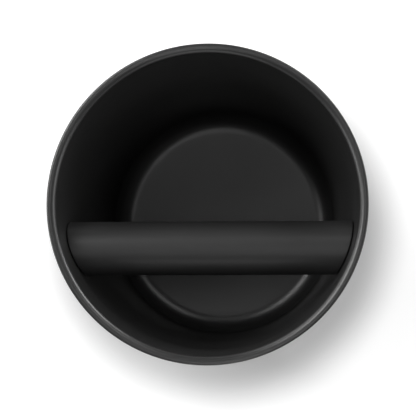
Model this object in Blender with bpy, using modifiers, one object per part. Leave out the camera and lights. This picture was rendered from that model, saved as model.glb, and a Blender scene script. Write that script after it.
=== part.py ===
"""Espresso knock box: a tapered round bin, a lift-out knock bar and a grip ring under its foot.

Metres, +Z up. The origin is on the worktop under the centre of the bin. The bar runs along X and sits
off centre, towards -Y, which is the side that faces the user.
"""

import math

import bmesh
import bpy
from mathutils import Matrix

# Bin: the wall tapers inwards from the rim to the worktop
RIM_RADIUS = 0.075
BASE_RADIUS = 0.059
BIN_HEIGHT = 0.145
RIM_INNER_ROUND = 0.0025
RIM_LAND = 0.0014
RIM_OUTER_ROUND = 0.0006
FOOT_WALL = 0.0032
FLOOR = 0.004
FLOOR_ROUND = 0.010

# Underside of the bin: a lip holds the grip ring's inner edge, and the floor is recessed behind it
LIP_WALL = 0.0022
LIP_LIFT = 0.0015
UNDERSIDE_RECESS = 0.0017
GATE_RADIUS = 0.006
GATE_DEPTH = 0.0008

# Grip ring: a rubber band around the foot, with a bead that snaps into the bin
RING_HEIGHT = 0.011
RING_WALL = 0.0020
RING_FOOT = 0.003
RING_FOOT_WIDTH = 0.011
RING_EDGE_ROUND = 0.0022
RING_TOP_BEVEL = 0.0005
BEAD_WIDTH = 0.0026
BEAD_DEPTH = 0.0008
GRIP_GROOVES = 12
GRIP_GROOVE_WIDTH = 0.003
GRIP_GROOVE_DEPTH = 0.0008

# Knock bar: a steel core in a rubber sleeve, with a slotted plug at each end
BAR_OFFSET = 0.0192
BAR_DEPTH = 0.0275
BAR_END_GAP = 0.0008
CORE_RADIUS = 0.006
SLEEVE_WALL = 0.0045
PLUG_WALL = 0.0017
PLUG_SOCKET = 0.008
PLUG_WEB = 0.0017
PLUG_RECESS = 0.0006

# Bar supports: a post with a saddle under each end of the bar, and a tongue that locates the end
POST_WIDTH = 0.016
POST_REACH = 0.0105
POST_ROUND = 0.0015
TONGUE_WIDTH = 0.006
TONGUE_SETBACK = 0.001
TONGUE_RISE = 0.004
TONGUE_LEAD_IN = 0.0012
TONGUE_END_GAP = 0.0005
SUPPORT_ROOT = 0.0018

# Fits and facets
CLEARANCE = 0.0003
BIN_FACETS = 64
BAR_FACETS = 48
ARC_STEPS = 5
EDGE_STEPS = 3

# Radii and levels that follow from the sizes above
RIM_WIDTH = RIM_INNER_ROUND + RIM_LAND + RIM_OUTER_ROUND
RING_BORE = BASE_RADIUS - RING_FOOT_WIDTH
PLUG_RADIUS = CORE_RADIUS + CLEARANCE + PLUG_WALL
BAR_RADIUS = PLUG_RADIUS + CLEARANCE + SLEEVE_WALL
SEAT_LEVEL = RING_FOOT + CLEARANCE
UNDERSIDE_LEVEL = SEAT_LEVEL + UNDERSIDE_RECESS
FLOOR_LEVEL = UNDERSIDE_LEVEL + FLOOR
BEAD_LEVEL = (SEAT_LEVEL + RING_HEIGHT) / 2
BAR_LEVEL = BIN_HEIGHT - BAR_DEPTH
SIDES = {"left": -1, "right": 1}

# Colours are linear
FINISHES = {
    "bin_plastic": {"colour": (0.021, 0.021, 0.022), "roughness": 0.42, "metallic": 0.0},
    "ring_rubber": {"colour": (0.016, 0.016, 0.017), "roughness": 0.75, "metallic": 0.0},
    "bar_rubber": {"colour": (0.020, 0.020, 0.021), "roughness": 0.55, "metallic": 0.0},
    "core_steel": {"colour": (0.56, 0.56, 0.57), "roughness": 0.32, "metallic": 1.0},
    "plug_nylon": {"colour": (0.028, 0.028, 0.029), "roughness": 0.50, "metallic": 0.0},
}


def outer_radius(level):
    """Outside of the bin's wall at a level."""
    return BASE_RADIUS + (RIM_RADIUS - BASE_RADIUS) * level / BIN_HEIGHT


def inner_radius(level):
    """Inside of the bin's wall at a level: the wall thickens evenly from the floor to the rim."""
    share = (level - FLOOR_LEVEL) / (BIN_HEIGHT - FLOOR_LEVEL)
    return outer_radius(level) - FOOT_WALL - (RIM_WIDTH - FOOT_WALL) * share


def rebate_radius(level):
    """Outside of the bin's foot, where the grip ring sits."""
    return outer_radius(level) - RING_WALL - CLEARANCE


def wall_chord(level):
    """Distance along X from the middle of the bar to the inside of the wall."""
    return math.sqrt(inner_radius(level) ** 2 - BAR_OFFSET**2)


def tongue_face():
    """Distance along X from the middle of the bar to the inner face of a tongue."""
    return wall_chord(BAR_LEVEL) - POST_REACH + TONGUE_SETBACK


def span(side, near, far):
    """A stretch along X on one side of the bin, low end first."""
    return sorted((side * near, side * far))


def arc(centre_r, centre_z, radius, start, end):
    """Points of an arc in the turning plane, with its angles in degrees from +R towards +Z."""
    turns = [math.radians(start + (end - start) * i / ARC_STEPS) for i in range(ARC_STEPS + 1)]
    return [(centre_r + radius * math.cos(t), centre_z + radius * math.sin(t)) for t in turns]


def clear_scene():
    for old in list(bpy.data.objects):
        bpy.data.objects.remove(old)


def new_collection(name):
    collection = bpy.data.collections.new(name)
    bpy.context.scene.collection.children.link(collection)
    return collection


def finish(name):
    """The named finish as a material, made once."""
    material = bpy.data.materials.get(name)
    if material is None:
        material = bpy.data.materials.new(name)
        material.use_nodes = True
        shader = material.node_tree.nodes["Principled BSDF"]
        shader.inputs["Base Color"].default_value = (*FINISHES[name]["colour"], 1)
        shader.inputs["Roughness"].default_value = FINISHES[name]["roughness"]
        shader.inputs["Metallic"].default_value = FINISHES[name]["metallic"]
    return material


def place(name, mesh, collection, finish_name=None, parent=None):
    """A mesh as an object. One without a finish is a cutter or helper, and is left out of the part."""
    piece = bpy.data.objects.new(name, mesh)
    collection.objects.link(piece)
    piece.parent = parent
    if finish_name:
        mesh.materials.append(finish(finish_name))
    else:
        piece.hide_render = True
        piece.display_type = "WIRE"
    return piece


def frame_empty(name, collection, location=(0, 0, 0), parent=None):
    empty = bpy.data.objects.new(name, None)
    collection.objects.link(empty)
    empty.location = location
    empty.parent = parent
    return empty


def turned_mesh(name, points, closed):
    """A profile in the XZ plane, turned about Z. A closed profile makes a ring."""
    profile = bpy.data.meshes.new(f"{name}_profile")
    count = len(points)
    edges = [(i, (i + 1) % count) for i in range(count if closed else count - 1)]
    profile.from_pydata([(r, 0, z) for r, z in points], edges, [])
    guide = bpy.data.objects.new(f"{name}_profile", profile)
    bpy.context.scene.collection.objects.link(guide)
    screw = guide.modifiers.new("turn", "SCREW")
    screw.steps = BIN_FACETS
    screw.render_steps = BIN_FACETS
    screw.use_merge_vertices = True
    screw.merge_threshold = 0.00001
    mesh = bpy.data.meshes.new_from_object(guide.evaluated_get(bpy.context.evaluated_depsgraph_get()))
    bpy.data.objects.remove(guide)
    mesh.name = name
    shade_round(mesh)
    return mesh


def shade_round(mesh):
    """Smooth shading across the facets of a round surface, with its real edges kept sharp."""
    mesh.shade_smooth()
    mesh.set_sharp_from_angle(angle=math.radians(30))


def box_mesh(name, low, high):
    mesh = bpy.data.meshes.new(name)
    shape = bmesh.new()
    add_box(shape, low, high)
    shape.to_mesh(mesh)
    shape.free()
    return mesh


def add_box(shape, low, high, turn=0.0):
    """Adds a box between two corners, turned about Z."""
    size = [b - a for a, b in zip(low, high)]
    middle = [(a + b) / 2 for a, b in zip(low, high)]
    scale = Matrix.Diagonal((*size, 1))
    matrix = Matrix.Rotation(turn, 4, "Z") @ Matrix.Translation(middle) @ scale
    return bmesh.ops.create_cube(shape, size=1, matrix=matrix)


def rod_mesh(name, radius, start, end):
    """A cylinder along X, from start to end."""
    mesh = bpy.data.meshes.new(name)
    shape = bmesh.new()
    along_x = Matrix.Translation(((start + end) / 2, 0, 0)) @ Matrix.Rotation(math.pi / 2, 4, "Y")
    bmesh.ops.create_cone(
        shape,
        cap_ends=True,
        segments=BAR_FACETS,
        radius1=radius,
        radius2=radius,
        depth=abs(end - start),
        matrix=along_x,
    )
    shape.to_mesh(mesh)
    shape.free()
    shade_round(mesh)
    return mesh


def wall_cone_mesh(name, foot_inset, rim_inset):
    """A solid cone along the inside of the wall, moved inwards by its inset at the foot and at the rim."""
    mesh = bpy.data.meshes.new(name)
    shape = bmesh.new()
    bmesh.ops.create_cone(
        shape,
        cap_ends=True,
        segments=BIN_FACETS,
        radius1=inner_radius(0) - foot_inset,
        radius2=inner_radius(BIN_HEIGHT) - rim_inset,
        depth=BIN_HEIGHT,
        matrix=Matrix.Translation((0, 0, BIN_HEIGHT / 2)),
    )
    shape.to_mesh(mesh)
    shape.free()
    return mesh


def combine(piece, other, operation):
    """Cuts, joins or trims a piece by another."""
    boolean = piece.modifiers.new(f"{operation.lower()} {other.name}", "BOOLEAN")
    boolean.operation = operation
    boolean.object = other
    boolean.solver = "EXACT"


def bin_profile():
    """The bin's section: floor, inside wall, rim, outside wall, foot rebate and underside."""
    floor_side = inner_radius(FLOOR_LEVEL + FLOOR_ROUND) - FLOOR_ROUND
    rim_side = inner_radius(BIN_HEIGHT - RIM_INNER_ROUND) + RIM_INNER_ROUND
    ring_top = RING_HEIGHT + CLEARANCE
    lip_outside = RING_BORE - CLEARANCE
    lip_inside = lip_outside - LIP_WALL
    inside = [(0, FLOOR_LEVEL)]
    inside += arc(floor_side, FLOOR_LEVEL + FLOOR_ROUND, FLOOR_ROUND, -90, 0)
    inside += arc(rim_side, BIN_HEIGHT - RIM_INNER_ROUND, RIM_INNER_ROUND, 180, 90)
    outside = arc(RIM_RADIUS - RIM_OUTER_ROUND, BIN_HEIGHT - RIM_OUTER_ROUND, RIM_OUTER_ROUND, 90, 0)
    outside += [(outer_radius(ring_top), ring_top), (rebate_radius(ring_top), ring_top)]
    groove = [(rebate_radius(z) - depth, z) for z, depth in bead_steps(CLEARANCE)]
    foot = [(rebate_radius(SEAT_LEVEL), SEAT_LEVEL), (lip_outside, SEAT_LEVEL)]
    foot += [(lip_outside, LIP_LIFT), (lip_inside, LIP_LIFT), (lip_inside, UNDERSIDE_LEVEL)]
    gate = [(GATE_RADIUS, UNDERSIDE_LEVEL), (GATE_RADIUS, UNDERSIDE_LEVEL + GATE_DEPTH)]
    gate += [(0, UNDERSIDE_LEVEL + GATE_DEPTH)]
    return inside + outside + groove + foot + gate


def bead_steps(growth):
    """Levels and depths of the ring's locking bead, or of its groove, which is larger by growth."""
    half = BEAD_WIDTH / 2 + growth
    slope = BEAD_DEPTH
    return [
        (BEAD_LEVEL + half, 0.0),
        (BEAD_LEVEL + half - slope, BEAD_DEPTH),
        (BEAD_LEVEL - half + slope, BEAD_DEPTH),
        (BEAD_LEVEL - half, 0.0),
    ]


def ring_profile():
    """The grip ring's section, down its outside and back up its inside."""
    skirt = outer_radius(RING_HEIGHT)
    edge = outer_radius(0) - RING_EDGE_ROUND
    outside = [(skirt - RING_TOP_BEVEL, RING_HEIGHT), (skirt, RING_HEIGHT - RING_TOP_BEVEL)]
    foot = arc(edge, RING_EDGE_ROUND, RING_EDGE_ROUND, 0, -90)
    foot += [(RING_BORE, 0), (RING_BORE, RING_FOOT)]
    inside = [(outer_radius(RING_FOOT) - RING_WALL, RING_FOOT)]
    inside += [(outer_radius(z) - RING_WALL - depth, z) for z, depth in reversed(bead_steps(0))]
    inside += [(skirt - RING_WALL, RING_HEIGHT)]
    return outside + foot + inside


def make_support(name, side, helpers):
    """A post and tongue that carry one end of the bar, ending just inside the bin's wall."""
    post_low, post_high = span(side, wall_chord(BAR_LEVEL) - POST_REACH, RIM_RADIUS)
    tongue_low, tongue_high = span(side, tongue_face(), RIM_RADIUS)
    post_mesh = rounded_box_mesh(
        name,
        (post_low, -BAR_OFFSET - POST_WIDTH / 2, FLOOR_LEVEL - FLOOR / 2),
        (post_high, -BAR_OFFSET + POST_WIDTH / 2, BAR_LEVEL),
        POST_ROUND,
        2,
    )
    tongue_mesh = rounded_box_mesh(
        f"{name}_tongue",
        (tongue_low, -BAR_OFFSET - TONGUE_WIDTH / 2, BAR_LEVEL - 2 * BAR_RADIUS),
        (tongue_high, -BAR_OFFSET + TONGUE_WIDTH / 2, BAR_LEVEL + TONGUE_RISE),
        TONGUE_LEAD_IN,
        0,
    )
    post = place(name, post_mesh, helpers)
    combine(post, helpers.objects["saddle_cutter"], "DIFFERENCE")
    combine(post, place(tongue_mesh.name, tongue_mesh, helpers), "UNION")
    combine(post, helpers.objects["support_trim"], "INTERSECT")
    return post


def rounded_box_mesh(name, low, high, radius, along):
    """A box whose four edges along one axis are rounded."""
    mesh = bpy.data.meshes.new(name)
    shape = bmesh.new()
    add_box(shape, low, high)
    size = high[along] - low[along]
    edges = [e for e in shape.edges if abs(e.verts[0].co[along] - e.verts[1].co[along]) > size / 2]
    bmesh.ops.bevel(shape, geom=edges, offset=radius, segments=EDGE_STEPS, profile=0.5, affect="EDGES")
    shape.to_mesh(mesh)
    shape.free()
    return mesh


def make_helpers(helpers):
    """Shared cutters: the bar's saddle, and cones that follow the wall. The supports' cone leans into it."""
    saddle_mesh = rod_mesh("saddle_cutter", BAR_RADIUS + CLEARANCE, -RIM_RADIUS, RIM_RADIUS)
    saddle = place("saddle_cutter", saddle_mesh, helpers)
    saddle.location = (0, -BAR_OFFSET, BAR_LEVEL)
    place("support_trim", wall_cone_mesh("support_trim", 0, -SUPPORT_ROOT), helpers)
    plug_gap = BAR_END_GAP + PLUG_RECESS
    place("sleeve_trim", wall_cone_mesh("sleeve_trim", BAR_END_GAP, BAR_END_GAP), helpers)
    place("plug_trim", wall_cone_mesh("plug_trim", plug_gap, plug_gap), helpers)


def make_bin(parts, helpers, root):
    """The moulded bin, with the posts and tongues joined to its wall and floor."""
    shell = place("bin_shell", turned_mesh("bin_shell", bin_profile(), False), parts, "bin_plastic", root)
    for name, side in SIDES.items():
        combine(shell, make_support(f"support_{name}", side, helpers), "UNION")


def make_ring(parts, helpers, root):
    """The rubber grip ring, with radial grooves across its standing face."""
    ring = place("base_ring", turned_mesh("base_ring", ring_profile(), True), parts, "ring_rubber", root)
    mesh = bpy.data.meshes.new("grip_groove_cutter")
    shape = bmesh.new()
    low = (RING_BORE - RING_FOOT, -GRIP_GROOVE_WIDTH / 2, -RING_FOOT)
    high = (RIM_RADIUS, GRIP_GROOVE_WIDTH / 2, GRIP_GROOVE_DEPTH)
    step = 2 * math.pi / GRIP_GROOVES
    for i in range(GRIP_GROOVES):
        add_box(shape, low, high, turn=step * (i + 0.5))
    shape.to_mesh(mesh)
    shape.free()
    combine(ring, place("grip_groove_cutter", mesh, helpers), "DIFFERENCE")


def make_bar(parts, helpers, bar):
    """The knock bar's four pieces, about its own axis: the sleeve, the core and two end plugs."""
    slot_end = tongue_face() - TONGUE_END_GAP
    socket_end = slot_end - PLUG_WEB
    plug_inner = socket_end - PLUG_SOCKET
    core_end = socket_end - CLEARANCE
    sleeve_mesh = rod_mesh("bar_sleeve", BAR_RADIUS, -RIM_RADIUS, RIM_RADIUS)
    sleeve = place("bar_sleeve", sleeve_mesh, parts, "bar_rubber", bar)
    combine(sleeve, helpers.objects["sleeve_trim"], "INTERSECT")
    bore_mesh = rod_mesh("core_bore_cutter", CORE_RADIUS + CLEARANCE, -RIM_RADIUS, RIM_RADIUS)
    combine(sleeve, place("core_bore_cutter", bore_mesh, helpers, parent=bar), "DIFFERENCE")
    place("bar_core", rod_mesh("bar_core", CORE_RADIUS, -core_end, core_end), parts, "core_steel", bar)
    for name, side in SIDES.items():
        slot = slot_cutter(f"slot_cutter_{name}", side, slot_end, helpers, bar)
        seat_ends = span(side, plug_inner - CLEARANCE, RIM_RADIUS)
        seat_mesh = rod_mesh(f"plug_seat_cutter_{name}", PLUG_RADIUS + CLEARANCE, *seat_ends)
        combine(sleeve, place(seat_mesh.name, seat_mesh, helpers, parent=bar), "DIFFERENCE")
        combine(sleeve, slot, "DIFFERENCE")
        plug = make_plug(f"bar_end_plug_{name}", side, plug_inner, parts, helpers, bar)
        combine(plug, slot, "DIFFERENCE")


def slot_cutter(name, side, slot_end, helpers, bar):
    """The slot in one end of the bar that drops over the tongue, open below and at the end."""
    near, far = span(side, slot_end, RIM_RADIUS)
    half = TONGUE_WIDTH / 2 + CLEARANCE
    mesh = box_mesh(name, (near, -half, -2 * BAR_RADIUS), (far, half, TONGUE_RISE + CLEARANCE))
    return place(name, mesh, helpers, parent=bar)


def make_plug(name, side, plug_inner, parts, helpers, bar):
    """A moulded end plug with a socket for the core, following the wall at its outer end."""
    mesh = rod_mesh(name, PLUG_RADIUS, *span(side, plug_inner, RIM_RADIUS))
    plug = place(name, mesh, parts, "plug_nylon", bar)
    combine(plug, helpers.objects["plug_trim"], "INTERSECT")
    socket_ends = span(side, plug_inner - PLUG_SOCKET, plug_inner + PLUG_SOCKET)
    socket_mesh = rod_mesh(f"{name}_socket_cutter", CORE_RADIUS + CLEARANCE, *socket_ends)
    combine(plug, place(socket_mesh.name, socket_mesh, helpers, parent=bar), "DIFFERENCE")
    return plug


def main():
    clear_scene()
    parts = new_collection("espresso_knock_box")
    helpers = new_collection("cutters")
    root = frame_empty("knock_box", parts)
    bar = frame_empty("bar_lift", parts, (0, -BAR_OFFSET, BAR_LEVEL), root)
    make_helpers(helpers)
    make_bin(parts, helpers, root)
    make_ring(parts, helpers, root)
    make_bar(parts, helpers, bar)
    bpy.context.view_layer.update()


main()
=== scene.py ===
import math

import bmesh
import bpy
import numpy as np
from mathutils import Matrix, Vector


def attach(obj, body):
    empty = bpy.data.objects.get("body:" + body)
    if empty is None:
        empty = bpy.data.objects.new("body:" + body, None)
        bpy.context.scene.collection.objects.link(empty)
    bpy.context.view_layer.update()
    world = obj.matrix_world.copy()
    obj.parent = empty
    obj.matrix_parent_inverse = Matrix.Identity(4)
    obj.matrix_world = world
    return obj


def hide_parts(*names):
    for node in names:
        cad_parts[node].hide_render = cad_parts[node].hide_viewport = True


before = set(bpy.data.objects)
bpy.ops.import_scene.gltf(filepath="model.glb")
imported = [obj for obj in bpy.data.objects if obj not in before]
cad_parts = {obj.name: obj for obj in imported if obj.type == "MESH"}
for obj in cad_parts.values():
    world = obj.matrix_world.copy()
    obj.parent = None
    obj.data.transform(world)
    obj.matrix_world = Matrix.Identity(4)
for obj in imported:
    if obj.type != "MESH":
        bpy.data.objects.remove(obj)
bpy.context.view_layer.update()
print("frame loaded:", ", ".join(sorted(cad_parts)))


# Meshes from arrays of points

meshRules = {
    "weld": 2e-7,              # points closer than this become one
    "flat": 1e-8,
    "samePoint": 1e-7,
    "sharpDegrees": 32,
}


def gridFaces(rows, columns, closeRows, closeColumns):
    # quads over a grid of points; a closed direction joins its last line to its first
    index = np.arange(rows * columns).reshape(rows, columns)
    if closeRows:
        index = np.concatenate([index, index[:1]])
    if closeColumns:
        index = np.concatenate([index, index[:, :1]], axis=1)
    corners = [index[:-1, :-1], index[1:, :-1], index[1:, 1:], index[:-1, 1:]]
    return np.stack(corners, axis=-1).reshape(-1, 4)


def gridMesh(name, points, closeRows=True, closeColumns=False):
    # points is rows x columns x 3; poles and seams are welded, and the faces are turned outwards
    rows, columns = points.shape[:2]
    mesh = bpy.data.meshes.new(name)
    mesh.from_pydata(points.reshape(-1, 3), [], gridFaces(rows, columns, closeRows, closeColumns))
    shape = bmesh.new()
    shape.from_mesh(mesh)
    bmesh.ops.remove_doubles(shape, verts=shape.verts, dist=meshRules["weld"])
    bmesh.ops.dissolve_degenerate(shape, edges=shape.edges, dist=meshRules["flat"])
    if shape.calc_volume(signed=True) < 0:
        bmesh.ops.reverse_faces(shape, faces=shape.faces)
    shape.to_mesh(mesh)
    shape.free()
    return mesh


def addObject(name, data):
    piece = bpy.data.objects.new(name, data)
    bpy.context.scene.collection.objects.link(piece)
    return piece


def combine(piece, helper, operation):
    # joins or cuts a piece by a helper, bakes the result into its mesh and removes the helper
    boolean = piece.modifiers.new(operation.lower(), "BOOLEAN")
    boolean.operation = operation
    boolean.solver = "EXACT"
    boolean.object = helper
    graph = bpy.context.evaluated_depsgraph_get()
    graph.update()
    result = bpy.data.meshes.new_from_object(piece.evaluated_get(graph))
    piece.modifiers.clear()
    piece.data = result
    bpy.data.objects.remove(helper)
    return piece


def joinMeshes(name, meshes):
    # several closed meshes in one, as a helper for one cut or join
    shape = bmesh.new()
    for mesh in meshes:
        shape.from_mesh(mesh)
    joined = bpy.data.meshes.new(name)
    shape.to_mesh(joined)
    shape.free()
    return joined


def shadeRound(piece):
    piece.data.shade_smooth()
    piece.data.set_sharp_from_angle(angle=math.radians(meshRules["sharpDegrees"]))


def oval(centre, wide, high, start, end, steps):
    # part of an ellipse in the turning plane, angles in degrees from +R towards +Z
    turn = np.radians(np.linspace(start, end, steps + 1))
    return np.stack([centre[0] + wide * np.cos(turn), centre[1] + high * np.sin(turn)], axis=1)


def arc(centre, radius, start, end, steps):
    return oval(centre, radius, radius, start, end, steps)


def line(start, end, steps=1):
    share = np.linspace(0, 1, steps + 1)[:, None]
    return np.asarray(start) * (1 - share) + np.asarray(end) * share


def chain(*runs):
    # one profile from several runs, without the points where two runs meet
    points = np.concatenate(runs)
    step = np.linalg.norm(np.diff(points, axis=0), axis=1)
    return points[np.concatenate([[True], step > meshRules["samePoint"]])]


def fullTurn(steps):
    return np.linspace(0, 2 * np.pi, steps, endpoint=False)


def turned(profile, steps):
    # each profile point (r, z) at each angle t is (r cos t, r sin t, z)
    r, z = profile[:, 0], profile[:, 1]
    t = fullTurn(steps)[:, None]
    x, y = np.cos(t) * r, np.sin(t) * r
    return np.stack([x, y, np.broadcast_to(z, x.shape)], axis=-1)


# The moulded bin

binShape = {
    "rimRadius": 0.075,
    "baseRadius": 0.059,       # the outer wall carried down to the worktop
    "height": 0.145,
    "rimWidth": 0.0042,
    "rimCrest": 0.0012,        # from the outer edge in to the rim's highest line
    "rimInnerDrop": 0.0028,    # how far down the rounding reaches inside
    "rimOuterDrop": 0.0005,
    "footWall": 0.0032,
    "floorLevel": 0.009,
    "floorRound": 0.010,
    "underside": 0.005,
    "undersideBevel": 0.0008,
    "edgeRound": 0.0004,       # small moulded edges around the foot
    "seat": 0.0033,            # where the bin rests on the grip ring
    "lipOuter": 0.0477,
    "lipInner": 0.0455,
    "lipLift": 0.0015,
    "gateRadius": 0.006,       # the moulding's gate, under the floor
    "gateDepth": 0.0008,
    "turnSteps": 288,
    "floorSteps": 26,
    "floorTurnSteps": 16,
    "innerSteps": 40,
    "rimInnerSteps": 24,
    "rimOuterSteps": 14,
    "outerSteps": 44,
    "undersideSteps": 14,
}

ringShape = {
    "height": 0.011,
    "wall": 0.0020,
    "foot": 0.003,
    "bore": 0.048,
    "boreBevel": 0.0005,
    "edgeRound": 0.0022,
    "topRound": 0.0006,
    "skirtTop": 0.0095,        # where the straight skirt starts below the rounded top
    "beadWidth": 0.0026,
    "beadDepth": 0.0008,
    "gap": 0.0003,
    "grooves": 12,
    "grooveWidth": 0.003,
    "grooveDepth": 0.0008,
    "grooveRadius": 0.0525,    # middle of the standing face
    "grooveSlope": 0.0035,     # angle over which half of a groove's side rises
}


def outerRadius(z):
    # a straight cone from the base to the rim
    flare = binShape["rimRadius"] - binShape["baseRadius"]
    return binShape["baseRadius"] + flare * z / binShape["height"]


def innerRadius(z):
    # the wall thickens evenly from the floor to the rim
    share = (z - binShape["floorLevel"]) / (binShape["height"] - binShape["floorLevel"])
    return outerRadius(z) - binShape["footWall"] - (binShape["rimWidth"] - binShape["footWall"]) * share


def leanOf(radiusAt):
    # degrees by which a wall leans out
    return math.degrees(math.atan(radiusAt(1.0) - radiusAt(0.0)))


def beadRun(radiusAt, growth):
    # the ring's snap bead, or its groove in the bin, as a run of (r, z) from the top down
    level = (binShape["seat"] + ringShape["height"]) / 2
    half = ringShape["beadWidth"] / 2 + growth
    depth = ringShape["beadDepth"]
    steps = np.array([[half, 0], [half - depth, depth], [depth - half, depth], [-half, 0]])
    z = level + steps[:, 0]
    return np.stack([radiusAt(z) - steps[:, 1], z], axis=1)


def binProfile():
    # the bin's half section: floor, inner wall, rim, outer wall, foot rebate, lip and underside
    b, gap = binShape, ringShape["gap"]
    top, floor, under = b["height"], b["floorLevel"], b["underside"]
    lean, bend = leanOf(innerRadius), b["floorRound"]
    floorCentre = (innerRadius(floor + bend) - bend / math.cos(math.radians(lean)), floor + bend)
    floorTurn = arc(floorCentre, bend, -90, -lean, b["floorTurnSteps"])
    crest, dropIn, dropOut = b["rimRadius"] - b["rimCrest"], b["rimInnerDrop"], b["rimOuterDrop"]
    wideIn, wideOut = crest - innerRadius(top - dropIn), b["rimRadius"] - crest
    rimIn = oval((crest, top - dropIn), wideIn, dropIn, 180 - lean, 90, b["rimInnerSteps"])
    rimOut = oval((crest, top - dropOut), wideOut, dropOut, 90, -lean / 2, b["rimOuterSteps"])
    ringTop, soft = ringShape["height"] + gap, b["edgeRound"]
    rebate = lambda z: outerRadius(z) - ringShape["wall"] - gap
    lipOuter, lipInner, lipLevel = b["lipOuter"], b["lipInner"], b["lipLift"] + soft
    bevel, gate, gateTop = b["undersideBevel"], b["gateRadius"], under + b["gateDepth"]
    return chain(
        line((0, floor), (floorCentre[0], floor), b["floorSteps"]),
        floorTurn,
        line(floorTurn[-1], rimIn[0], b["innerSteps"]),
        rimIn,
        rimOut,
        line(rimOut[-1], (outerRadius(ringTop + soft), ringTop + soft), b["outerSteps"]),
        arc((outerRadius(ringTop) - soft, ringTop + soft), soft, 0, -90, 4),
        line((rebate(ringTop) + soft, ringTop), (rebate(ringTop), ringTop)),
        beadRun(rebate, gap),
        line((rebate(b["seat"]), b["seat"]), (lipOuter, b["seat"])),
        arc((lipOuter - soft, lipLevel), soft, 0, -90, 3),
        arc((lipInner + soft, lipLevel), soft, -90, -180, 3),
        line((lipInner, under - bevel), (lipInner - bevel, under), 3),
        line((lipInner - bevel, under), (gate, under), b["undersideSteps"]),
        line((gate, gateTop), (0, gateTop), 5),
    )


# Posts and tongues, moulded into the wall, that carry the ends of the bar

supportShape = {
    "postHalf": 0.008,
    "postReach": 0.0105,
    "postRound": 0.0015,
    "wallFillet": 0.0020,
    "saddleRound": 0.0006,
    "postFoot": 0.0116,        # buried in the round between wall and floor
    "tongueHalf": 0.003,
    "tongueSetback": 0.001,
    "tongueRise": 0.004,
    "tongueRound": 0.0012,
    "tongueCorner": 0.0008,
    "tongueFillet": 0.0005,
    "tongueFoot": 0.085,       # buried in the post
    "root": 0.0018,            # how far they run into the wall
    "fade": 0.005,             # standing less proud than this, they lose their fillets
    "climbRows": 31,
    "roundRows": 6,
    "cornerSteps": 6,
    "faceSteps": 8,
}

barShape = {
    "radius": 0.0128,
    "offset": -0.0192,         # the bar's axis, along Y
    "level": 0.1175,           # the bar's axis, along Z
    "endGap": 0.0005,
    "endRound": 0.0004,
    "plugSeat": 0.0083,
    "bore": 0.0063,
    "boreEdge": 0.0004,
    "seatGap": 0.0003,
    "shoulderGap": 0.0003,
    "turnSteps": 160,
    "alongSteps": 24,
}


def wallChord(y, z):
    # distance along X from the middle plane to the inner wall
    return np.sqrt(innerRadius(z) ** 2 - y ** 2)


def supportOutline(half, corner, fillet):
    # a support seen from above, from the wall round its inner face to the wall again: columns are the
    # distance out from the wall (or from the inner face), the offset along Y, and 1 where the distance
    # counts from the wall
    turn = np.linspace(0, np.pi / 2, supportShape["cornerSteps"] + 1)
    zero, one = np.zeros_like(turn), np.ones_like(turn)
    root = np.array([[-supportShape["root"], half + fillet, 1.0]])
    flare = np.stack([fillet * (1 - np.cos(turn)), half + fillet * (1 - np.sin(turn)), one], axis=1)
    bend = np.stack([corner * (1 - np.sin(turn)), half - corner * (1 - np.cos(turn)), zero], axis=1)
    upper = np.concatenate([root, flare, bend])
    lower = upper[::-1] * np.array([1, -1, 1])
    across = np.linspace(half - corner, corner - half, supportShape["faceSteps"] + 1)[1:-1]
    face = np.stack([np.zeros_like(across), across, np.zeros_like(across)], axis=1)
    return np.concatenate([upper, face, lower])


def support(name, side, outline, reach, foot, topAt, topRound):
    # a column P(u, v): u runs round the outline, v climbs from the foot to the top edge and then shrinks
    # the outline to its middle, so the top closes on a pole; lower down the wall comes in over the face,
    # and there the outline stays just inside the wall, so the column grows out of it as a rib
    inset, across, fromWall = outline.T
    level, offset, root = barShape["level"], barShape["offset"], supportShape["root"]
    climbRows, roundRows = supportShape["climbRows"], supportShape["roundRows"]
    faceX = wallChord(offset, level) - reach
    swing = np.linspace(0, np.pi / 2, roundRows + 1)[1:]
    toPole = np.array([0.3, 0.6, 1.0])                           # shares of the way to the middle
    shrink = np.concatenate([np.zeros(climbRows), topRound * (1 - np.cos(swing)), toPole])[:, None]
    drop = np.concatenate([np.zeros(climbRows), topRound * (1 - np.sin(swing)), 0 * toPole])[:, None]
    climb = np.concatenate([np.linspace(0, 1, climbRows), np.ones(roundRows + len(toPole))])[:, None]
    row = np.arange(len(climb))[:, None]
    z = foot + (topAt(offset + across) - topRound - foot) * climb
    y = np.broadcast_to(offset + across, z.shape)
    wall = wallChord(y, z)
    proud = np.clip((wall - faceX) / supportShape["fade"], 0, 1)
    atWall = wall - inset * proud + root * (1 - proud)
    atFace = np.minimum(faceX + inset, wall + root / 2)
    x = np.where(fromWall > 0, atWall, atFace)
    toMiddle = np.stack([faceX + reach / 2 - x, offset - y], axis=-1)
    span = np.linalg.norm(toMiddle, axis=-1)
    amount = np.where(row < climbRows + roundRows, shrink, shrink * span)
    x = x + toMiddle[..., 0] / span * amount
    y = y + toMiddle[..., 1] / span * amount
    z = np.where(row >= climbRows, topAt(y) - drop, z)
    points = np.stack([side * x, y, z], axis=-1)
    base = np.broadcast_to(points[:1].mean(axis=1, keepdims=True), points[:1].shape)
    return gridMesh(name, np.concatenate([base, points]), closeRows=False, closeColumns=True)


def saddleTop(y):
    # the underside of the bar, lowered by its seating gap
    reach = barShape["radius"] + barShape["seatGap"]
    return barShape["level"] - np.sqrt(reach ** 2 - (y - barShape["offset"]) ** 2)


def tongueTop(y):
    return np.full_like(y, barShape["level"] + supportShape["tongueRise"])


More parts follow.
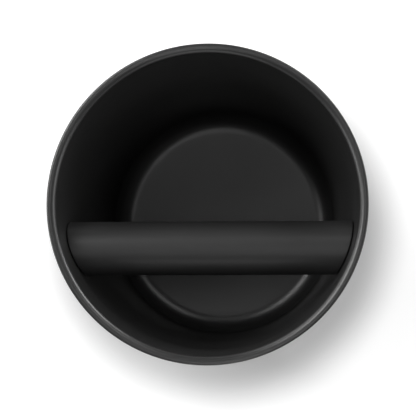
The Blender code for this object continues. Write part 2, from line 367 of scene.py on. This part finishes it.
def makeSupports():
    s = supportShape
    postLine = supportOutline(s["postHalf"], s["postRound"], s["wallFillet"])
    tongueLine = supportOutline(s["tongueHalf"], s["tongueCorner"], s["tongueFillet"])
    tongueReach = s["postReach"] - s["tongueSetback"]
    made = []
    for side in (-1, 1):
        post = support("post", side, postLine, s["postReach"],
                       s["postFoot"], saddleTop, s["saddleRound"])
        tongue = support("tongue", side, tongueLine, tongueReach,
                         s["tongueFoot"], tongueTop, s["tongueRound"])
        made.append(combine(addObject("support", post), addObject("tongue", tongue), "UNION"))
    joined = addObject("supports", joinMeshes("supports", [piece.data for piece in made]))
    for piece in made:
        bpy.data.objects.remove(piece)
    return joined


def makeBin():
    shell = addObject("binShell", gridMesh("binShell", turned(binProfile(), binShape["turnSteps"])))
    combine(shell, makeSupports(), "UNION")
    shadeRound(shell)
    return shell


binShell = makeBin()
print("bin turned:", len(binShell.data.polygons), "faces")


# The rubber grip ring under the foot

def ringProfile():
    # down the outside, under the foot and back up the inside
    r = ringShape
    lean, bend = leanOf(outerRadius), r["edgeRound"]
    top, topRound = r["height"], r["topRound"]
    skirt = outerRadius(top)
    edge = outerRadius(bend) - bend / math.cos(math.radians(lean))
    footTurn = arc((edge, bend), bend, -lean, -90, 10)
    bore, bevel = r["bore"], r["boreBevel"]
    inside = lambda z: outerRadius(z) - r["wall"]
    return chain(
        arc((skirt - topRound, top - topRound), topRound, 90, 0, 5),
        line((outerRadius(r["skirtTop"]), r["skirtTop"]), footTurn[0], 6),
        footTurn,
        line((edge, 0), (bore + bevel, 0), 12),
        line((bore + bevel, 0), (bore, bevel), 2),
        line((bore, r["foot"]), (inside(r["foot"]), r["foot"]), 4),
        beadRun(inside, 0)[::-1],
        line((inside(top), top), (skirt - topRound, top)),
    )


def makeRing():
    # a turned section whose low points rise by a groove depth in narrow, straight-sided sectors:
    # the angle of each point is stretched so that a groove keeps its width at every radius
    r = ringShape
    radius, height = ringProfile()[:-1].T                        # the last point is the first again
    pitch = 2 * np.pi / r["grooves"]
    mid, slope = math.asin(r["grooveWidth"] / 2 / r["grooveRadius"]), r["grooveSlope"]
    side = mid + slope * np.linspace(-1, 1, 7)
    bed, land = np.linspace(0, side[0], 3)[:-1], np.linspace(side[-1], pitch / 2, 9)[1:]
    half = np.concatenate([bed, side, land])
    local = np.concatenate([-half[::-1][:-1], half[:-1]])        # one pitch, groove in the middle
    turn = (np.arange(r["grooves"])[:, None] + 0.5) * pitch
    depth = np.clip((mid + slope - np.abs(local)) / (2 * slope), 0, 1)
    depth = depth * depth * (3 - 2 * depth)
    ratio = np.arcsin(r["grooveWidth"] / 2 / radius) / mid       # per profile point
    share = np.clip((np.abs(local)[:, None] - mid) / (pitch / 2 - mid), 0, 1)
    angle = local[:, None] * (ratio[None, :] * (1 - share) + share)
    low = np.clip(1 - height / r["grooveDepth"], 0, 1)           # 1 on the standing face
    lifted = height[None, :] + depth[:, None] * low[None, :] * r["grooveDepth"]
    angles = (turn[:, :, None] + angle[None, :, :]).reshape(-1, len(radius))
    z = np.broadcast_to(lifted, (r["grooves"],) + lifted.shape).reshape(angles.shape)
    points = np.stack([radius * np.cos(angles), radius * np.sin(angles), z], axis=-1)
    ring = addObject("gripRing", gridMesh("gripRing", points, closeRows=True, closeColumns=True))
    shadeRound(ring)
    return ring


gripRing = makeRing()
print("grip ring turned:", len(gripRing.data.polygons), "faces")


# The knock bar: rubber sleeve, end plugs and steel core

slotShape = {
    "half": 0.0033,
    "roof": 0.0043,
    "endGap": 0.0005,          # left before the tongue's face
    "below": 0.02,             # how far the cutter reaches below the bar's axis
    "outerEnd": 0.08,          # and out past the bar's end
}

plugShape = {
    "radius": 0.008,
    "recess": 0.0006,
    "edgeRound": 0.0005,
    "socket": 0.0063,
    "socketDepth": 0.008,
    "web": 0.0017,             # between socket and slot
    "turnSteps": 96,
}

postFace = wallChord(barShape["offset"], barShape["level"]) - supportShape["postReach"]
tongueFace = postFace + supportShape["tongueSetback"]
slotShape["start"] = tongueFace - slotShape["endGap"]
plugShape["socketEnd"] = slotShape["start"] - plugShape["web"]
plugShape["inner"] = plugShape["socketEnd"] - plugShape["socketDepth"]


def barEnd(y, z):
    # the bar's ends follow the wall at an even gap
    return np.sqrt((innerRadius(z) - barShape["endGap"]) ** 2 - y ** 2)


def barSurface(profile, steps):
    # profile columns are radius, share of the end's place, inset from the end and a fixed place along X;
    # at angle t the point is (share (end - inset) + (1 - share) fixed, r cos t, r sin t), with r about
    # the bar's axis
    radius, share, inset, fixed = profile.T
    t = fullTurn(steps)[:, None]
    y = barShape["offset"] + radius * np.cos(t)
    z = barShape["level"] + radius * np.sin(t)
    x = share * (barEnd(y, z) - inset) + (1 - share) * fixed
    return np.stack([x, y, z], axis=-1)


def columns(radius, share, inset, fixed):
    # one run of a bar profile, with single values repeated along it
    values = [np.asarray(v, float) for v in (radius, share, inset, fixed)]
    return np.stack(np.broadcast_arrays(*values), axis=1)


def onward(start, end, steps):
    # even steps after the start
    return np.linspace(start, end, steps + 1)[1:]


def sleeveHalf():
    # from the middle of the outside, over the rounded end, into the plug's seat and along the bore
    b = barShape
    turn = np.linspace(0, np.pi / 2, 9)
    outer, seat, bore, e, g = b["radius"], b["plugSeat"], b["bore"], b["endRound"], b["boreEdge"]
    end, lip = turn[1:], turn[2::2]
    shoulder = plugShape["inner"] - b["shoulderGap"]
    return np.concatenate([
        columns(outer, np.linspace(0, 1, b["alongSteps"] + 1), e, 0.0),
        columns(outer - e + e * np.cos(end), 1.0, e - e * np.sin(end), 0.0),
        columns(onward(outer - e, seat + g, 6), 1.0, 0.0, 0.0),
        columns(seat + g - g * np.sin(lip), 1.0, g - g * np.cos(lip), 0.0),
        columns(seat, onward(1, 0, 6), g, shoulder),
        columns(onward(seat, bore, 2), 0.0, 0.0, shoulder),
        columns(bore, 0.0, 0.0, onward(shoulder, 0, 6)),
    ])


def slotCutters():
    # two straight-sided slots, open below and at the ends of the bar
    s, made = slotShape, []
    for side in (-1, 1):
        xs = np.array([s["start"], s["outerEnd"]]) * side
        ys = barShape["offset"] + np.array([-s["half"], s["half"]])
        zs = barShape["level"] + np.array([-s["below"], s["roof"]])
        points = np.stack(np.meshgrid(xs, ys, zs, indexing="ij"), axis=-1).reshape(-1, 3)
        quads = [(0, 1, 3, 2), (4, 6, 7, 5), (0, 4, 5, 1), (2, 3, 7, 6), (0, 2, 6, 4), (1, 5, 7, 3)]
        mesh = bpy.data.meshes.new("slot")
        mesh.from_pydata(points, [], quads)
        shape = bmesh.new()
        shape.from_mesh(mesh)
        bmesh.ops.recalc_face_normals(shape, faces=shape.faces)
        shape.to_mesh(mesh)
        shape.free()
        made.append(mesh)
    return addObject("slots", joinMeshes("slots", made))


def makeSleeve():
    # the half bar and its mirror image share their middle lines
    half = barSurface(sleeveHalf(), barShape["turnSteps"])
    other = half[:, ::-1][:, 1:-1] * np.array([-1, 1, 1])
    points = np.concatenate([half, other], axis=1)
    sleeve = addObject("barSleeve", gridMesh("barSleeve", points, closeRows=True, closeColumns=True))
    combine(sleeve, slotCutters(), "DIFFERENCE")
    shadeRound(sleeve)
    return sleeve


def makePlug(name, side):
    # a turned plug from the pole of its outer face to the pole of its socket
    p = plugShape
    rise = np.linspace(0, np.pi / 2, 6)[1:]
    outer, e, recess = p["radius"], p["edgeRound"], p["recess"]
    socket, inner, deep = p["socket"], p["inner"], p["socketEnd"]
    profile = np.concatenate([
        columns(np.linspace(0, outer - e, 9), 1.0, recess, 0.0),
        columns(outer - e + e * np.sin(rise), 1.0, recess + e - e * np.cos(rise), 0.0),
        columns(outer, onward(1, 0, 8), recess + e, inner + e),
        columns(outer - e + e * np.cos(rise), 0.0, 0.0, inner + e - e * np.sin(rise)),
        columns(onward(outer - e, socket, 2), 0.0, 0.0, inner),
        columns(socket, 0.0, 0.0, onward(inner, deep, 4)),
        columns(onward(socket, 0, 4), 0.0, 0.0, deep),
    ])
    points = barSurface(profile, p["turnSteps"]) * np.array([side, 1, 1])
    plug = addObject(name, gridMesh(name, points))
    combine(plug, slotCutters(), "DIFFERENCE")
    shadeRound(plug)
    return plug


barSleeve = makeSleeve()
endPlugs = [makePlug("endPlugLeft", -1), makePlug("endPlugRight", 1)]
print("knock bar made:", len(barSleeve.data.polygons), "faces on its sleeve")


# Shader maths

class Wire:
    # a socket in a node tree; arithmetic on it adds Math nodes
    def __init__(self, shade, socket):
        self.shade = shade
        self.socket = socket

    def other(self, name):
        return Wire(self.shade, self.socket.node.outputs[name])

    def __add__(self, value):
        return self.shade.maths("ADD", self, value)

    def __radd__(self, value):
        return self.shade.maths("ADD", value, self)

    def __sub__(self, value):
        return self.shade.maths("SUBTRACT", self, value)

    def __rsub__(self, value):
        return self.shade.maths("SUBTRACT", value, self)

    def __mul__(self, value):
        return self.shade.maths("MULTIPLY", self, value)

    def __rmul__(self, value):
        return self.shade.maths("MULTIPLY", value, self)

    def __pow__(self, value):
        return self.shade.maths("POWER", self, value)


class Shade:
    # the node tree of a material or of the world, and the one method that adds its nodes
    def __init__(self, owner):
        self.owner = owner
        owner.use_nodes = True
        self.tree = owner.node_tree

    def node(self, kind, settings=None, sockets=None):
        made = self.tree.nodes.new(kind)
        for key, value in (settings or {}).items():
            setattr(made, key, value)
        for key, value in (sockets or {}).items():
            self.feed(made.inputs[key], value)
        return Wire(self, next(out for out in made.outputs if out.enabled))

    def feed(self, socket, value):
        if isinstance(value, Wire):
            self.tree.links.new(value.socket, socket)
        else:
            socket.default_value = value

    def maths(self, operation, first, second=0.0):
        return self.node("ShaderNodeMath", {"operation": operation}, {0: first, 1: second})

    def finish(self, **sockets):
        surface = self.tree.nodes["Principled BSDF"]
        for key, value in sockets.items():
            self.feed(surface.inputs[key.replace("_", " ")], value)
        return self.owner

    def place(self):
        return self.node("ShaderNodeTexCoord").other("Object")

    def split(self, vector):
        parts = self.node("ShaderNodeSeparateXYZ", {}, {0: vector})
        return parts, parts.other("Y"), parts.other("Z")

    def stretch(self, vector, scale):
        return self.node("ShaderNodeMapping", {}, {"Vector": vector, "Scale": scale})

    def noise(self, vector, scale, detail, rough):
        return self.node("ShaderNodeTexNoise", {"noise_dimensions": "3D"},
                         {"Vector": vector, "Scale": scale, "Detail": detail, "Roughness": rough})

    def grain(self, vector, scale):
        return self.noise(vector, scale, 3.0, 0.6)

    def marks(self, vector, scale):
        return self.noise(vector, scale, 3.0, 0.55)

    def ramp(self, value, low, high, start=0.0, end=1.0):
        limits = {"From Min": low, "From Max": high, "To Min": start, "To Max": end}
        return self.node("ShaderNodeMapRange", {"interpolation_type": "SMOOTHSTEP"},
                         {"Value": value, **limits})

    def blend(self, factor, first, second):
        mix = self.node("ShaderNodeMix", {"data_type": "RGBA"}, {0: factor, 6: first, 7: second})
        return mix.other(2)

    def bump(self, height, strength, distance):
        return self.node("ShaderNodeBump", {},
                         {"Strength": strength, "Distance": distance, "Height": height})

    def rays(self):
        # two masks: what a reflection or a clear material sees, and what the camera sees
        path = self.node("ShaderNodeLightPath")
        mirrored = self.maths("MAXIMUM", path.other("Is Glossy Ray"), path.other("Is Transmission Ray"))
        return mirrored, path.other("Is Camera Ray")


def newShade(name):
    return Shade(bpy.data.materials.new(name))


def grey(value, warm=0.0):
    return (value * (1 + warm), value, value * (1 - warm), 1.0)


# Finishes: scales are cells per metre, pairs are where a mask starts and is full

binLook = {                    # satin black moulding, spark-eroded texture
    "dark": 0.0205,
    "light": 0.0265,
    "scuffed": 0.060,
    "dusty": 0.100,
    "dustWarm": 0.04,
    "rough": 0.34,
    "gloss": 0.66,
    "outsidePaintedShade": 0.010,      # painted shade, a guess: the darker grey the outside leans towards, so that it looks less lit
    "outsideRough": 0.12,      # added on the outside, a guess at a coarser texture
    "outsidePaintedShadeShare": 0.7,
    "grainScale": 2600.0,
    "pebbleScale": 850.0,
    "markScale": 34.0,
    "scuffStretch": (950.0, 950.0, 7.0),
    "inside": (0.0018, 0.0030),          # depth into the wall
    "lip": (0.1420, 0.1445),             # height
    "scuffStreak": (0.62, 0.76),
    "scuffPatch": (0.46, 0.62),
    "scuffHeight": (0.045, 0.115),
    "scuffShare": 0.35,
    "dustHeight": (0.040, 0.011),
    "dustPatch": (0.42, 0.70),
    "dustShare": 0.12,
    "roughSpread": (0.10, 0.06),         # by marks, by grain
    "roughWear": (0.12, 0.12, 0.03),     # scuffs, dust, and off at the lip
    "bump": 0.12,
    "bumpDepth": 0.0002,
    "bumpParts": (0.7, 0.5),             # grain, pebbles
}


def binFinish():
    k = binLook
    shade = newShade("binPlastic")
    place = shade.place()
    x, y, height = shade.split(place)
    radius = (x * x + y * y) ** 0.5
    grain = shade.grain(place, k["grainScale"])
    pebble = shade.noise(place, k["pebbleScale"], 2.0, 0.5)
    marks = shade.marks(place, k["markScale"])
    drag = shade.grain(shade.stretch(place, k["scuffStretch"]), 1.0)
    flare = (binShape["rimRadius"] - binShape["baseRadius"]) / binShape["height"]
    inside = shade.ramp(binShape["baseRadius"] + height * flare - radius, *k["inside"])
    lip = shade.ramp(height, *k["lip"])
    outside = (1 - inside) * (1 - lip)
    scuff = shade.ramp(drag, *k["scuffStreak"]) * shade.ramp(marks, *k["scuffPatch"])
    scuff = scuff * shade.ramp(height, *k["scuffHeight"]) * inside
    dust = shade.ramp(height, *k["dustHeight"]) * shade.ramp(marks, *k["dustPatch"]) * (1 - inside)
    colour = shade.blend(marks, grey(k["dark"]), grey(k["light"]))
    colour = shade.blend(scuff * k["scuffShare"], colour, grey(k["scuffed"]))
    colour = shade.blend(dust * k["dustShare"], colour, grey(k["dusty"], k["dustWarm"]))
    # painted shade: the outside's colour is pulled towards a darker grey so that it looks less lit
    colour = shade.blend(outside * k["outsidePaintedShadeShare"], colour, grey(k["outsidePaintedShade"]))
    byMarks, byGrain = k["roughSpread"]
    byScuff, byDust, byLip = k["roughWear"]
    rough = k["rough"] + (marks - 0.5) * byMarks + (grain - 0.5) * byGrain
    rough = rough + scuff * byScuff + dust * byDust - lip * byLip + outside * k["outsideRough"]
    texture = grain * k["bumpParts"][0] + pebble * k["bumpParts"][1]
    return shade.finish(Base_Color=colour, Roughness=rough, Specular_IOR_Level=k["gloss"],
                        Normal=shade.bump(texture, k["bump"], k["bumpDepth"]))


ringLook = {                   # matte soft rubber
    "dark": 0.0115,
    "light": 0.0175,
    "dusty": 0.080,
    "dustWarm": 0.05,
    "rough": 0.72,
    "grainScale": 1500.0,
    "markScale": 60.0,
    "dustHeight": (0.0045, 0.0004),
    "dustPatch": (0.35, 0.65),
    "dustShare": 0.30,
    "roughSpread": (0.12, 0.10),         # by marks, by dust
    "bump": 0.25,
    "bumpDepth": 0.0003,
}


def ringFinish():
    k = ringLook
    shade = newShade("ringRubber")
    place = shade.place()
    height = shade.split(place)[2]
    grain = shade.grain(place, k["grainScale"])
    marks = shade.marks(place, k["markScale"])
    dust = shade.ramp(height, *k["dustHeight"]) * shade.ramp(marks, *k["dustPatch"])
    colour = shade.blend(marks, grey(k["dark"]), grey(k["light"]))
    colour = shade.blend(dust * k["dustShare"], colour, grey(k["dusty"], k["dustWarm"]))
    byMarks, byDust = k["roughSpread"]
    rough = k["rough"] + (marks - 0.5) * byMarks + dust * byDust
    return shade.finish(Base_Color=colour, Roughness=rough,
                        Normal=shade.bump(grain, k["bump"], k["bumpDepth"]))


barLook = {                    # dense satin rubber
    "dark": 0.0180,
    "light": 0.0220,
    "rubbed": 0.032,
    # painted light: the bar's ends are lighter in colour, standing in for the light that the nearby
    # walls shade off them
    "paintedEndLightGrey": 0.034,          # the ends, as light as the photograph shows them
    "rough": 0.42,
    "grainScale": 2000.0,
    "markScale": 45.0,
    "rubStretch": (70.0, 420.0, 420.0),
    "rubStreak": (0.50, 0.72),
    "rubHeight": (0.004, 0.012),         # above the bar's axis
    "rubAlong": (0.056, 0.030),          # from the middle of the bar
    "rubShare": 0.25,
    "paintedEndLightAlong": (0.036, 0.062),
    "paintedEndLightShare": 0.6,
    "roughSpread": (0.06, 0.06),         # by marks, by grain
    "roughRubbed": 0.05,
    "bump": 0.15,
    "bumpDepth": 0.0002,
}


def sleeveFinish():
    k = barLook
    shade = newShade("barRubber")
    place = shade.place()
    x, y, height = shade.split(place)
    along = shade.maths("ABSOLUTE", x)
    grain = shade.grain(place, k["grainScale"])
    marks = shade.marks(place, k["markScale"])
    rub = shade.grain(shade.stretch(place, k["rubStretch"]), 1.0)
    crest = shade.ramp(height - barShape["level"], *k["rubHeight"])
    worn = shade.ramp(rub, *k["rubStreak"]) * crest * shade.ramp(along, *k["rubAlong"])
    colour = shade.blend(marks, grey(k["dark"]), grey(k["light"]))
    colour = shade.blend(worn * k["rubShare"], colour, grey(k["rubbed"]))
    # painted light: the colour lightens towards the ends, where the walls shade the bar
    paintedEndLightMask = shade.ramp(along, *k["paintedEndLightAlong"])
    colour = shade.blend(paintedEndLightMask * k["paintedEndLightShare"], colour, grey(k["paintedEndLightGrey"]))
    byMarks, byGrain = k["roughSpread"]
    rough = k["rough"] + (marks - 0.5) * byMarks + (grain - 0.5) * byGrain - worn * k["roughRubbed"]
    return shade.finish(Base_Color=colour, Roughness=rough,
                        Normal=shade.bump(grain, k["bump"], k["bumpDepth"]))


plugLook = {                   # moulded nylon
    "dark": 0.016,
    "light": 0.023,
    "rough": 0.44,
    "roughSpread": 0.12,
    "grainScale": 1700.0,
    "bump": 0.12,
    "bumpDepth": 0.0002,
}


def plugFinish():
    k = plugLook
    shade = newShade("plugNylon")
    grain = shade.noise(shade.place(), k["grainScale"], 2.0, 0.5)
    colour = shade.blend(grain, grey(k["dark"]), grey(k["light"]))
    return shade.finish(Base_Color=colour, Roughness=k["rough"] + (grain - 0.5) * k["roughSpread"],
                        Normal=shade.bump(grain, k["bump"], k["bumpDepth"]))


coreLook = {                   # drawn stainless bar
    "dark": 0.44,
    "light": 0.60,
    "rough": 0.24,
    "roughSpread": 0.16,
    "drawnStretch": (12.0, 900.0, 900.0),
    "bump": 0.10,
    "bumpDepth": 0.0002,
}


def coreFinish():
    k = coreLook
    shade = newShade("coreSteel")
    drawn = shade.grain(shade.stretch(shade.place(), k["drawnStretch"]), 1.0)
    colour = shade.blend(drawn, grey(k["dark"]), grey(k["light"]))
    return shade.finish(Base_Color=colour, Metallic=1.0, Roughness=k["rough"] + drawn * k["roughSpread"],
                        Normal=shade.bump(drawn, k["bump"], k["bumpDepth"]))


def dress(piece, material, slotName, body, *nodes):
    piece.data.materials.clear()
    piece.data.materials.append(material)
    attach(piece, body)
    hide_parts(*nodes)


dress(binShell, binFinish(), "bin_plastic", "bin", "bin_shell")
dress(gripRing, ringFinish(), "ring_rubber", "bin", "base_ring")
dress(barSleeve, sleeveFinish(), "bar_rubber", "knock_bar", "bar_sleeve")
nylon = plugFinish()
dress(endPlugs[0], nylon, "plug_nylon", "knock_bar", "bar_end_plug_left")
dress(endPlugs[1], nylon, "plug_nylon", "knock_bar", "bar_end_plug_right")
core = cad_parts["bar_core"]
core.material_slots[0].material = coreFinish()
print("finishes assigned")


# Studio: white floor, soft lights, camera nearly straight down

studio = {
    "floorGrey": 0.745,
    "floorHalf": 4.0,
    "floorLevel": -0.0001,
    "floorCells": 8,
    "floorGlow": 0.06,         # seen by the camera and in reflections only; the ramps below add more of it away from the bin, which paints the bin's shadow on the floor
    "paintedShadowCentre": (0.0026, 0.0031, 0.0),  # added to a place before its distance is taken, so it moves the painted shadow
    "paintedShadowNear": (0.0746, 0.1030, 0.52),   # painted shadow: from radius, to radius, extra glow
    "paintedShadowFar": (0.10, 0.40, 0.45),
    "mirrorGlow": 0.40,        # share of the glow in reflections, where lamps and glow add up to white
    "worldLight": 0.06,
    "horizon": (0.10, 0.32),   # height of a ray where a reflection loses the white background
    "lampAim": (0.0, 0.0, 0.1),
    "softboxes": [             # azimuth, zenith, distance, width, depth, watts
        ("leftBox", 147, 40, 1.5, 0.85, 0.45, 9.8),
        ("leftEdge", 188, 60, 1.5, 0.60, 0.60, 4.2),
        ("leftLow", 138, 69, 1.5, 1.40, 0.40, 5.8),
        ("backBox", 62, 38, 1.5, 0.50, 0.40, 1.9),
        ("rightLow", 43, 76, 1.5, 0.90, 0.50, 10.6),
        ("rightBox", 0, 59, 1.5, 1.10, 0.65, 5.4),
        ("topStrip", 270, 14, 1.5, 0.16, 1.20, 2.2),
        ("frontBox", 270, 64, 1.5, 1.20, 0.40, 2.2),
    ],
}

cameraSet = {
    "aim": (0.0, 0.0, 0.145),  # centre of the rim
    "distance": 1.0,
    "leanRight": 3.965,        # degrees off straight down
    "leanFront": -4.526,
    "lens": 186.50,
    "sensor": 36.0,
    "shift": (0.0031, -0.0109),
    "clip": (0.01, 50.0),
}


def floorFinish():
    # a pale floor, and a glow that grows with the distance from the bin, which paints a shadow around it
    shade = newShade("floorWhite")
    moved = shade.node("ShaderNodeVectorMath", {"operation": "ADD"},
                       {0: shade.place(), 1: studio["paintedShadowCentre"]})
    away = shade.node("ShaderNodeVectorMath", {"operation": "LENGTH"}, {0: moved}).other("Value")
    glowAndPaintedShadow = studio["floorGlow"]
    # painted shadow: less glow near the bin darkens the floor there, on top of the lamps' own shadow
    for start, end, extra in (studio["paintedShadowNear"], studio["paintedShadowFar"]):
        glowAndPaintedShadow = glowAndPaintedShadow + shade.ramp(away, start, end, 0.0, extra)
    mirrored, camera = shade.rays()
    seen = shade.maths("MAXIMUM", camera, mirrored * studio["mirrorGlow"])
    light = shade.blend(glowAndPaintedShadow * seen, grey(0.0), grey(1.0))
    return shade.finish(Base_Color=grey(studio["floorGrey"]), Roughness=1.0, Specular_IOR_Level=0.0,
                        Emission_Color=light, Emission_Strength=1.0)


def makeFloor():
    lines = studio["floorCells"] + 1
    reach = np.linspace(-1, 1, lines) * studio["floorHalf"]
    points = np.stack(np.meshgrid(reach, reach, [studio["floorLevel"]], indexing="ij"), axis=-1)
    mesh = bpy.data.meshes.new("floor")
    mesh.from_pydata(points.reshape(-1, 3), [], gridFaces(lines, lines, False, False))
    mesh.materials.append(floorFinish())
    addObject("floor", mesh)


def makeWorld():
    # white to the camera, white near the horizon in reflections, and a weak fill elsewhere
    world = bpy.data.worlds.new("studio")
    bpy.context.scene.world = world
    shade = Shade(world)
    height = shade.split(shade.node("ShaderNodeTexCoord").other("Generated"))[2]
    mirrored, camera = shade.rays()
    low = shade.ramp(height, *studio["horizon"], 1.0, 0.0)
    white = shade.maths("MAXIMUM", camera, mirrored * low)
    background = world.node_tree.nodes["Background"]
    background.inputs["Color"].default_value = grey(1.0)
    shade.feed(background.inputs["Strength"], studio["worldLight"] + white * (1 - studio["worldLight"]))


def makeSoftbox(name, azimuth, zenith, distance, width, depth, watts):
    data = bpy.data.lights.new(name, "AREA")
    data.shape = "RECTANGLE"
    data.size, data.size_y = width, depth
    data.energy = watts
    lamp = addObject(name, data)
    a, t = math.radians(azimuth), math.radians(zenith)
    away = Vector((math.cos(a) * math.sin(t), math.sin(a) * math.sin(t), math.cos(t)))
    lamp.location = Vector(studio["lampAim"]) + away * distance
    lamp.rotation_euler = away.to_track_quat("Z", "Y").to_euler()
    lamp.visible_camera = False


def makeCamera():
    c = cameraSet
    lean = [math.tan(math.radians(c["leanRight"])), math.tan(math.radians(c["leanFront"])), 1.0]
    back = Vector(lean).normalized()
    side = Vector((0, 1, 0)).cross(back).normalized()
    up = back.cross(side)
    data = bpy.data.cameras.new("camera")
    data.lens = c["lens"]
    data.sensor_width = c["sensor"]
    data.shift_x, data.shift_y = c["shift"]
    data.clip_start, data.clip_end = c["clip"]
    camera = addObject("camera", data)
    camera.location = Vector(c["aim"]) + back * c["distance"]
    camera.rotation_euler = Matrix((side, up, back)).transposed().to_euler()
    bpy.context.scene.camera = camera


makeFloor()
makeWorld()
for box in studio["softboxes"]:
    makeSoftbox(*box)
makeCamera()
bpy.context.scene.view_settings.view_transform = "Standard"
print("studio set")
